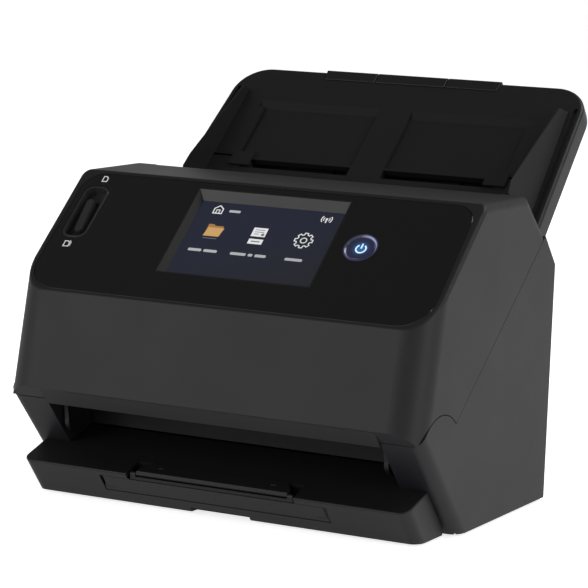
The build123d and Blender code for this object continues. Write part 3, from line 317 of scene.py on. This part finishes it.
def lit_screen(name):
    material, graph, place = start_finish(name)
    across, up = panel_reading(graph, place)
    rightward = graph.between(across, screen_left, screen_right)
    downward = 1 - graph.between(up, screen_foot, screen_head)
    fade = graph.between(rightward * 0.55 + downward * 0.75, 0.45, 1.25)
    rows = graph.node("ShaderNodeTexWave", {"bands_direction": "X"}, {"Vector": place, "Scale": 700.0})
    glow = graph.blend(fade, (0.0095, 0.0112, 0.0235, 1), (0.0120, 0.0124, 0.0150, 1))
    close_finish(graph, {
        "Base Color": graph.blend(rows, (0.006, 0.007, 0.012, 1), (0.008, 0.009, 0.014, 1)),
        "Roughness": graph.noise(place, 9.0, 3.0) * 0.06 + 0.12,
        "Emission Color": glow,
        "Emission Strength": 1.0,
        "IOR": 1.5,
    })
    return material


finishes["screen_display"] = lit_screen("screen_lit_glass")

# %% [markdown]
# ## The power button
# The button is a dark blue cap, lit from behind, in a polished ring. The light is strongest round the
# sign and dies away towards the edge. The ring carries a painted highlight: its thin rim glows along its
# upper right, and more faintly at its lower left.

# %% The power button's two finishes
button_x, button_up = 75.4, 61.2


def from_button(graph, place):
    """Distance from the button's centre, and how far up and to the right of it a point is."""
    across, up = panel_reading(graph, place)
    right = across - button_x
    above = up - button_up
    return (right * right + above * above) ** 0.5, right, above


def button_cap(name):
    material, graph, place = start_finish(name)
    distance, right, above = from_button(graph, place)
    halo = 1 - graph.between(distance, 2.0, 6.8)
    speckle = graph.noise(place, 0.5, 2.0)
    close_finish(graph, {
        "Base Color": graph.blend(speckle, (0.010, 0.012, 0.030, 1), (0.014, 0.016, 0.038, 1)),
        "Roughness": speckle * 0.08 + 0.22,
        "Emission Color": graph.blend(halo ** 1.6, (0.008, 0.009, 0.026, 1), (0.020, 0.120, 0.330, 1)),
        "Emission Strength": 1.0,
    })
    return material


def button_ring(name):
    material, graph, place = start_finish(name)
    distance, right, above = from_button(graph, place)
    # painted highlight: the rim of the polished ring glows where it leans up and to the right, with a
    # weaker glint at the lower left
    lean = (right * 0.75 + above * 0.65) / distance
    lit = graph.between(lean, 0.35, 0.95) + graph.between(0 - lean, 0.72, 1.0) * 0.45
    rim = 1 - graph.between(abs(distance - 9.95), 0.15, 0.75)
    cloud = graph.noise(place, 3.0)
    close_finish(graph, {
        "Base Color": graph.blend(cloud, (0.020, 0.022, 0.040, 1), (0.028, 0.030, 0.050, 1)),
        "Roughness": graph.noise(place, 2.0) * 0.1 + 0.18,
        # the painted highlight of the rim is laid into the emission of the ring
        "Emission Color": graph.blend(rim * lit, (0.010, 0.011, 0.024, 1), (0.30, 0.30, 0.52, 1)),
        "Emission Strength": 1.0,
    })
    return material


finishes["button_blue"] = button_cap("power_button_cap")
finishes["button_ring"] = button_ring("power_button_polished_ring")

# %% [markdown]
# ## Rubber, steel, glass and boards
# Inside are ground rubber rollers, drawn steel shafts, plated sockets, a green board and the two glass
# strips that the sheet passes over. They show when the cover is open, and from behind.

# %% Rubber
def rubber(name, colour, roughness, ring_mm):
    """Ground rubber: fine rings round the roller's axis, which runs along x."""
    material, graph, place = start_finish(name)
    rings = graph.node("ShaderNodeTexWave", {"bands_direction": "X", "wave_profile": "TRI"}, {
        "Vector": place, "Scale": 300.0 / ring_mm, "Distortion": 0.6, "Detail": 1.0})
    dust = graph.noise(place, 1.2, 4.0, 0.7)
    close_finish(graph, {
        "Base Color": graph.blend(dust * 0.7 + rings * 0.3, tone(colour, 0.8), tone(colour, 1.15)),
        "Roughness": dust * 0.15 + roughness,
        "Normal": dents(graph, rings * 0.6 + dust * 0.4, 0.06),
        "IOR": 1.45,
    })
    return material


finishes["rubber_black"] = rubber("foot_and_belt_rubber", (0.014, 0.014, 0.014), 0.62, 1.1)
finishes["roller_rubber"] = rubber("roller_ground_rubber", (0.15, 0.15, 0.16), 0.60, 0.8)


# %% Metal
def drawn_metal(name, colour, roughness, stretch):
    """Metal drawn or brushed along x: long fine scratches, made by squeezing the noise in one direction."""
    material, graph, place = start_finish(name)
    squeezed = graph.node("ShaderNodeVectorMath", {"operation": "MULTIPLY"}, {0: place, 1: stretch})
    scratches = graph.noise(squeezed, 0.5, 3.0, 0.7)
    stain = graph.noise(place, 12.0, 3.0)
    close_finish(graph, {
        "Base Color": graph.blend(stain, tone(colour, 0.88), tone(colour, 1.04)),
        "Metallic": 1.0,
        "Roughness": scratches * 0.18 + roughness,
        "Normal": dents(graph, scratches, 0.01),
    })
    return material


finishes["steel"] = drawn_metal("shaft_drawn_steel", (0.54, 0.55, 0.56), 0.20, (0.06, 1.0, 1.0))
finishes["socket_metal"] = drawn_metal("socket_plated_steel", (0.60, 0.60, 0.59), 0.24, (1.0, 0.08, 1.0))


# %% Circuit board
def circuit_board(name):
    material, graph, place = start_finish(name)
    traces = graph.node("ShaderNodeTexBrick", {"offset": 0.35, "squash": 1.6}, {
        "Vector": place, "Color1": grey(0.0), "Color2": grey(0.15), "Mortar": grey(1.0), "Scale": 60.0,
        "Mortar Size": 0.03, "Brick Width": 0.9, "Row Height": 0.22})
    dust = graph.noise(place, 1.5, 3.0)
    share = traces * 0.5 + dust * 0.2
    close_finish(graph, {
        "Base Color": graph.blend(share, (0.008, 0.070, 0.028, 1), (0.030, 0.150, 0.060, 1)),
        "Roughness": dust * 0.12 + 0.30,
        "Normal": dents(graph, traces, 0.04),
    })
    return material


finishes["board_green"] = circuit_board("board_solder_mask")


# %% Sensor glass
def sensor_glass(name):
    material, graph, place = start_finish(name)
    dust = graph.noise(place, 2.5, 4.0, 0.7)
    close_finish(graph, {
        "Base Color": graph.blend(dust, (0.60, 0.66, 0.65, 1), (0.70, 0.75, 0.74, 1)),
        "Roughness": graph.between(dust, 0.5, 0.9) * 0.12 + 0.03,
        "Alpha": dust * 0.08 + 0.30,
        "IOR": 1.52,
    })
    return material


finishes["sensor_glass"] = sensor_glass("sensor_clear_glass")
print(len(finishes), "finishes are ready")

# %% [markdown]
# ## Giving the parts their finishes
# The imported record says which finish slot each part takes, so one loop dresses all of them. Only the
# material slots change: the shapes stay as the frame has them. The steel plates at the ends of the
# paper mouth are blackened, because bare steel there would glint from the front.

# %% Dress the parts
blackened = moulded_plastic("side_plate_blackened", (0.006, 0.006, 0.0065), 0.34, 0.45, 0.006)
for row in frame["record"]["subparts"]:
    part = frame["nodes"][row["node"]]
    finish = blackened if row["node"] == "cover_side_plates" else finishes[row["material_slot"]]
    if not part.material_slots:
        part.data.materials.append(finish)
    for slot in part.material_slots:
        slot.material = finish

# %% [markdown]
# ## Printed and lit signs
# Signs are thin prints on the panel and lit shapes behind the glass. Flat pictures on a texture would
# do, but each sign here is a thin solid of its own, so that it stays sharp at any size. Two builders
# are enough: a filled outline, and a line of even width that may close on itself.

# %% Builders for thin signs
def add_plate(mesh, outline, low, high):
    """A filled outline, given as (x, up) pairs on the panel, as a closed thin solid."""
    below = [mesh.verts.new(on_panel(x, up, low)) for x, up in outline]
    above = [mesh.verts.new(on_panel(x, up, high)) for x, up in outline]
    mesh.faces.new(above)
    mesh.faces.new(below[::-1])
    for i in range(len(outline)):
        j = (i + 1) % len(outline)
        mesh.faces.new((below[i], below[j], above[j], above[i]))


def add_line(mesh, points, width, low, high, closed=False):
    """A line of even width through (x, up) pairs, mitred at its corners, as one closed thin solid."""
    spots = [Vector(p) for p in points]
    count = len(spots)
    sides = []
    for i, spot in enumerate(spots):
        before = spots[i - 1] if (closed or i > 0) else spot
        after = spots[(i + 1) % count] if (closed or i < count - 1) else spot
        into, out_of = spot - before, after - spot
        into = into.normalized() if into.length > 1e-9 else out_of.normalized()
        out_of = out_of.normalized() if out_of.length > 1e-9 else into
        middle = (into + out_of).normalized()
        reach = min(2.0, 1.0 / max(0.3, middle.dot(into))) * width / 2
        aside = Vector((-middle.y, middle.x)) * reach
        sides.append((spot + aside, spot - aside))
    rings = [[mesh.verts.new(on_panel(p.x, p.y, level)) for p, level in
              ((left, high), (right, high), (right, low), (left, low))] for left, right in sides]
    for i in range(count if closed else count - 1):
        here, there = rings[i], rings[(i + 1) % count]
        for k in range(4):
            mesh.faces.new((here[k], there[k], there[(k + 1) % 4], here[(k + 1) % 4]))
    if not closed:
        mesh.faces.new(rings[0][::-1])
        mesh.faces.new(rings[-1])


def arc(x, up, radius, start, end, steps=24):
    """Points on an arc, with angles in degrees measured from the right, anticlockwise."""
    turns = [math.radians(start + (end - start) * i / steps) for i in range(steps + 1)]
    return [(x + radius * math.cos(t), up + radius * math.sin(t)) for t in turns]


def finish_sign(mesh, name, material, body):
    """Turns a drawn sign into a piece that rides on a body of the frame."""
    bmesh.ops.recalc_face_normals(mesh, faces=mesh.faces)
    data = bpy.data.meshes.new(name)
    mesh.to_mesh(data)
    mesh.free()
    piece = bpy.data.objects.new(name, data)
    bpy.context.scene.collection.objects.link(piece)
    data.materials.append(material)
    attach(piece, body)
    print("made", name, "with", len(data.polygons), "faces")
    return piece


# %% [markdown]
# The lit signs glow, and the printed ones are white ink. Both vary a little over their surface: the
# light falls off towards the lower right of the screen, and ink never lies quite evenly.

# %% Light and ink
def lit_sign(name, colour, strength):
    material, graph, place = start_finish(name)
    across, up = panel_reading(graph, place)
    fall = graph.between(across * 0.6 - up, -70.0, 10.0)
    close_finish(graph, {
        "Base Color": tone(colour, 0.2),
        "Roughness": graph.noise(place, 4.0) * 0.1 + 0.3,
        "Emission Color": graph.blend(fall, tone(colour, strength), tone(colour, strength * 0.75)),
        "Emission Strength": 1.0,
    })
    return material


def printed_ink(name, colour):
    material, graph, place = start_finish(name)
    speck = graph.noise(place, 0.35, 3.0, 0.7)
    close_finish(graph, {
        "Base Color": graph.blend(speck, tone(colour, 0.82), tone(colour, 1.0)),
        "Roughness": speck * 0.2 + 0.42,
        "Normal": dents(graph, speck, 0.01),
    })
    return material


white_light = lit_sign("screen_white_light", (1.0, 1.0, 1.0), 0.62)
soft_light = lit_sign("screen_soft_white_light", (0.95, 0.97, 1.0), 0.30)
amber_light = lit_sign("screen_amber_light", (1.0, 0.60, 0.22), 0.42)
dark_amber_light = lit_sign("screen_dark_amber_light", (1.0, 0.48, 0.15), 0.22)
shade_light = lit_sign("screen_shade", (0.55, 0.60, 0.75), 0.10)
button_light = lit_sign("power_sign_light", (0.62, 0.86, 1.0), 1.15)
white_ink = printed_ink("panel_white_ink", (0.80, 0.80, 0.80))

# %% [markdown]
# ## The home sign and the signal sign
# The head of the screen has a small house at its left with a line of type beside it, and a signal sign
# at its right. Type is drawn as plain bars: it reads as a caption without saying anything.

# %% House, caption and signal
glass_low, glass_high, front_high = -4.50, -4.44, -4.41


def caption(mesh, left, right, foot, head, words):
    """Bars as long as the words of a caption, with gaps between them."""
    gap = 1.6
    room = (right - left) - gap * (len(words) - 1)
    x = left
    for share in words:
        width = room * share / sum(words)
        r = (head - foot) * 0.35
        outline = (arc(x + r, head - r, r, 180, 90, 4) + arc(x + width - r, head - r, r, 90, 0, 4)
                   + arc(x + width - r, foot + r, r, 0, -90, 4) + arc(x + r, foot + r, r, -90, -180, 4))
        add_plate(mesh, outline[::-1], glass_low, glass_high)
        x += width + gap


house = bmesh.new()
add_line(house, [(-39.2, 81.9), (-39.2, 86.0), (-36.1, 88.6), (-33.0, 86.0), (-33.0, 81.9)], 0.75,
         glass_low, glass_high, closed=True)
add_line(house, [(-37.2, 82.2), (-37.2, 84.9), (-35.0, 84.9), (-35.0, 82.2)], 0.6, glass_low, glass_high)
finish_sign(house, "screen_house_sign", white_light, "front_cover")

head_caption = bmesh.new()
caption(head_caption, -28.2, -20.0, 83.7, 85.7, [1])
finish_sign(head_caption, "screen_head_caption", soft_light, "front_cover")

signal = bmesh.new()
add_line(signal, [(41.2, 82.4), (41.2, 85.0)], 0.9, glass_low, glass_high)
add_plate(signal, arc(41.2, 85.6, 0.85, 0, 345, 14), glass_low, glass_high)
for radius, width in ((2.1, 0.6), (3.6, 0.65)):
    add_line(signal, arc(41.2, 85.4, radius, -42, 42, 12), width, glass_low, glass_high)
    add_line(signal, arc(41.2, 85.4, radius, 138, 222, 12), width, glass_low, glass_high)
finish_sign(signal, "screen_signal_sign", white_light, "front_cover")

# %% [markdown]
# ## The three menu signs
# A folder, a pair of cards and a toothed wheel stand in a row, each over its caption. The folder has a
# darker back leaf that shows above its front, and the cards have a few dark lines on them.

# %% Folder
folder_back = bmesh.new()
leaf = [(-37.4, 63.4), (-26.2, 63.4), (-26.2, 71.2), (-32.4, 71.2), (-33.4, 72.4), (-37.4, 72.4)]
add_plate(folder_back, leaf, glass_low, glass_high)
finish_sign(folder_back, "screen_folder_back", dark_amber_light, "front_cover")
folder_front = bmesh.new()
leaf = [(-37.9, 62.2), (-26.6, 62.2), (-25.2, 69.6), (-36.6, 69.6)]
add_plate(folder_front, leaf, glass_high, front_high)
finish_sign(folder_front, "screen_folder_front", amber_light, "front_cover")
folder_shadow = bmesh.new()
add_line(folder_shadow, [(-37.2, 60.4), (-27.2, 60.4)], 0.5, glass_low, glass_high)
finish_sign(folder_shadow, "screen_folder_underline", shade_light, "front_cover")

# %% Cards
cards = bmesh.new()
add_plate(cards, [(-4.8, 65.6), (5.2, 65.6), (5.2, 73.0), (-4.8, 73.0)], glass_low, glass_high)
add_plate(cards, [(-4.6, 59.2), (5.4, 59.2), (5.4, 63.4), (-4.6, 63.4)], glass_low, glass_high)
finish_sign(cards, "screen_cards_sign", white_light, "front_cover")
card_lines = bmesh.new()
for up, right in ((71.2, 3.6), (69.4, 3.6), (67.6, 0.2)):
    add_line(card_lines, [(-3.2, up), (right, up)], 0.55, glass_high, front_high)
add_plate(card_lines, arc(3.2, 67.4, 1.15, 0, 345, 14), glass_high, front_high)
add_line(card_lines, [(-2.8, 61.3), (3.6, 61.3)], 0.9, glass_high, front_high)
finish_sign(card_lines, "screen_card_lines", shade_light, "front_cover")

# %% Toothed wheel
wheel = bmesh.new()
wheel_x, wheel_up, teeth = 32.7, 66.1, 8
outline = []
for tooth in range(teeth):
    middle = 360.0 * tooth / teeth
    for offset, radius in ((-15.0, 4.9), (-9.5, 6.3), (9.5, 6.3), (15.0, 4.9)):
        turn = math.radians(middle + offset)
        outline.append((wheel_x + radius * math.cos(turn), wheel_up + radius * math.sin(turn)))
add_line(wheel, outline, 0.72, glass_low, glass_high, closed=True)
add_line(wheel, arc(wheel_x, wheel_up, 2.1, 0, 345, 23), 0.72, glass_low, glass_high, closed=True)
finish_sign(wheel, "screen_wheel_sign", white_light, "front_cover")

# %% Captions of the menu
menu_captions = bmesh.new()
caption(menu_captions, -43.0, -22.2, 48.7, 50.9, [6, 6])
caption(menu_captions, -12.6, 12.8, 48.6, 50.8, [7, 2, 5])
caption(menu_captions, 26.2, 38.4, 48.4, 50.6, [1])
finish_sign(menu_captions, "screen_menu_captions", soft_light, "front_cover")

# %% [markdown]
# ## The power sign
# The usual sign for power is a ring that is open at its top, with a short upright bar in the opening.
# It sits on the cap of the button and moves with it.

# %% Power sign
cap_low, cap_high = -0.84, -0.74
power = bmesh.new()
sign_x, stroke = button_x + 0.3, 1.05
add_line(power, arc(sign_x, button_up - 0.4, 3.3, 125, 415, 36), stroke, cap_low, cap_high)
add_line(power, [(sign_x, button_up - 0.2), (sign_x, button_up + 3.9)], stroke, cap_low, cap_high)
finish_sign(power, "power_sign", button_light, "power_button")

# %% [markdown]
# ## Printed signs beside the lever
# The lever chooses between single sheets and a stack, so the panel has a small sheet sign at each end
# of its slot. They are outlines in white ink.

# %% Sheet signs
ink_low, ink_high = -0.02, 0.03
sheets = bmesh.new()
add_line(sheets, [(-127.0, 96.3), (-123.6, 96.3), (-123.6, 99.4), (-124.9, 100.7), (-127.0, 100.7)], 0.75,
         ink_low, ink_high, closed=True)
add_line(sheets, [(-128.8, 37.9), (-125.2, 37.9), (-125.2, 41.0), (-126.5, 42.3), (-128.8, 42.3)], 0.75,
         ink_low, ink_high, closed=True)
add_line(sheets, [(-124.2, 38.3), (-124.2, 41.4), (-125.4, 42.9)], 0.6, ink_low, ink_high)
finish_sign(sheets, "panel_sheet_signs", white_ink, "front_cover")

# %% [markdown]
# ## The studio
# The floor is a pale sheet that glows a little, more where it is looked at than in what it lights, so
# that it stays white behind a black machine. The sky of the studio is white low down and dark
# overhead, because the glossy panel faces upwards and would otherwise turn grey. One large soft lamp
# stands at the front left, one at the right, and one hangs high behind and lights the floor.

# %% Floor
floor_mesh = bpy.data.meshes.new("studio_floor")
reach = 12.0
floor_mesh.from_pydata([(-reach, -reach, 0), (reach, -reach, 0), (reach, reach, 0), (-reach, reach, 0)], [],
                       [(0, 1, 2, 3)])
floor = bpy.data.objects.new("studio_floor", floor_mesh)
bpy.context.scene.collection.objects.link(floor)
material, graph, place = start_finish("studio_floor_white")
floor_glow = 0.78
seen_directly = graph.node("ShaderNodeLightPath", out="Is Camera Ray")
close_finish(graph, {
    "Base Color": graph.blend(graph.noise(place, 300.0), grey(0.90), grey(0.93)),
    "Roughness": 0.9,
    "Emission Color": graph.blend(seen_directly, grey(0.5), grey(1.0)),
    "Emission Strength": floor_glow,
})
floor_mesh.materials.append(material)

# %% Sky
world = bpy.data.worlds.new("studio_sky")
bpy.context.scene.world = world
world.use_nodes = True
sky = Graph(world.node_tree)
direction = sky.node("ShaderNodeTexCoord", out="Generated")
heights = sky.node("ShaderNodeSeparateXYZ", {}, {"Vector": direction})
level = sky.node("ShaderNodeValToRGB", {"stops": [(0.0, 0.95), (0.18, 0.75), (0.42, 0.26), (1.0, 0.10)]},
                 {"Fac": heights.other("Z")})
seen = sky.node("ShaderNodeLightPath", out="Is Camera Ray")
shown = sky.blend(seen, level, grey(1.0))
background = sky.node("ShaderNodeBackground", {}, {"Color": shown, "Strength": 1.0})
sky.node("ShaderNodeOutputWorld", {}, {"Surface": background})


# %% Lamps
def soft_lamp(name, place, target, width, height, power):
    data = bpy.data.lights.new(name, "AREA")
    data.shape = "RECTANGLE"
    data.size, data.size_y, data.energy = width, height, power
    lamp = bpy.data.objects.new(name, data)
    bpy.context.scene.collection.objects.link(lamp)
    lamp.location = place
    lamp.rotation_euler = (Vector(target) - Vector(place)).to_track_quat("-Z", "Y").to_euler()
    lamp.visible_camera = False
    return lamp


soft_lamp("front_left_softbox", (-1.3, -2.3, 1.0), (0, 0, 0.1), 1.2, 1.4, 22.0)
soft_lamp("right_softbox", (2.4, -0.5, 0.9), (0, 0, 0.1), 0.7, 1.4, 18.0)
soft_lamp("high_rear_lamp", (1.2, 1.2, 2.6), (0, 0, 0.1), 1.4, 1.4, 40.0)
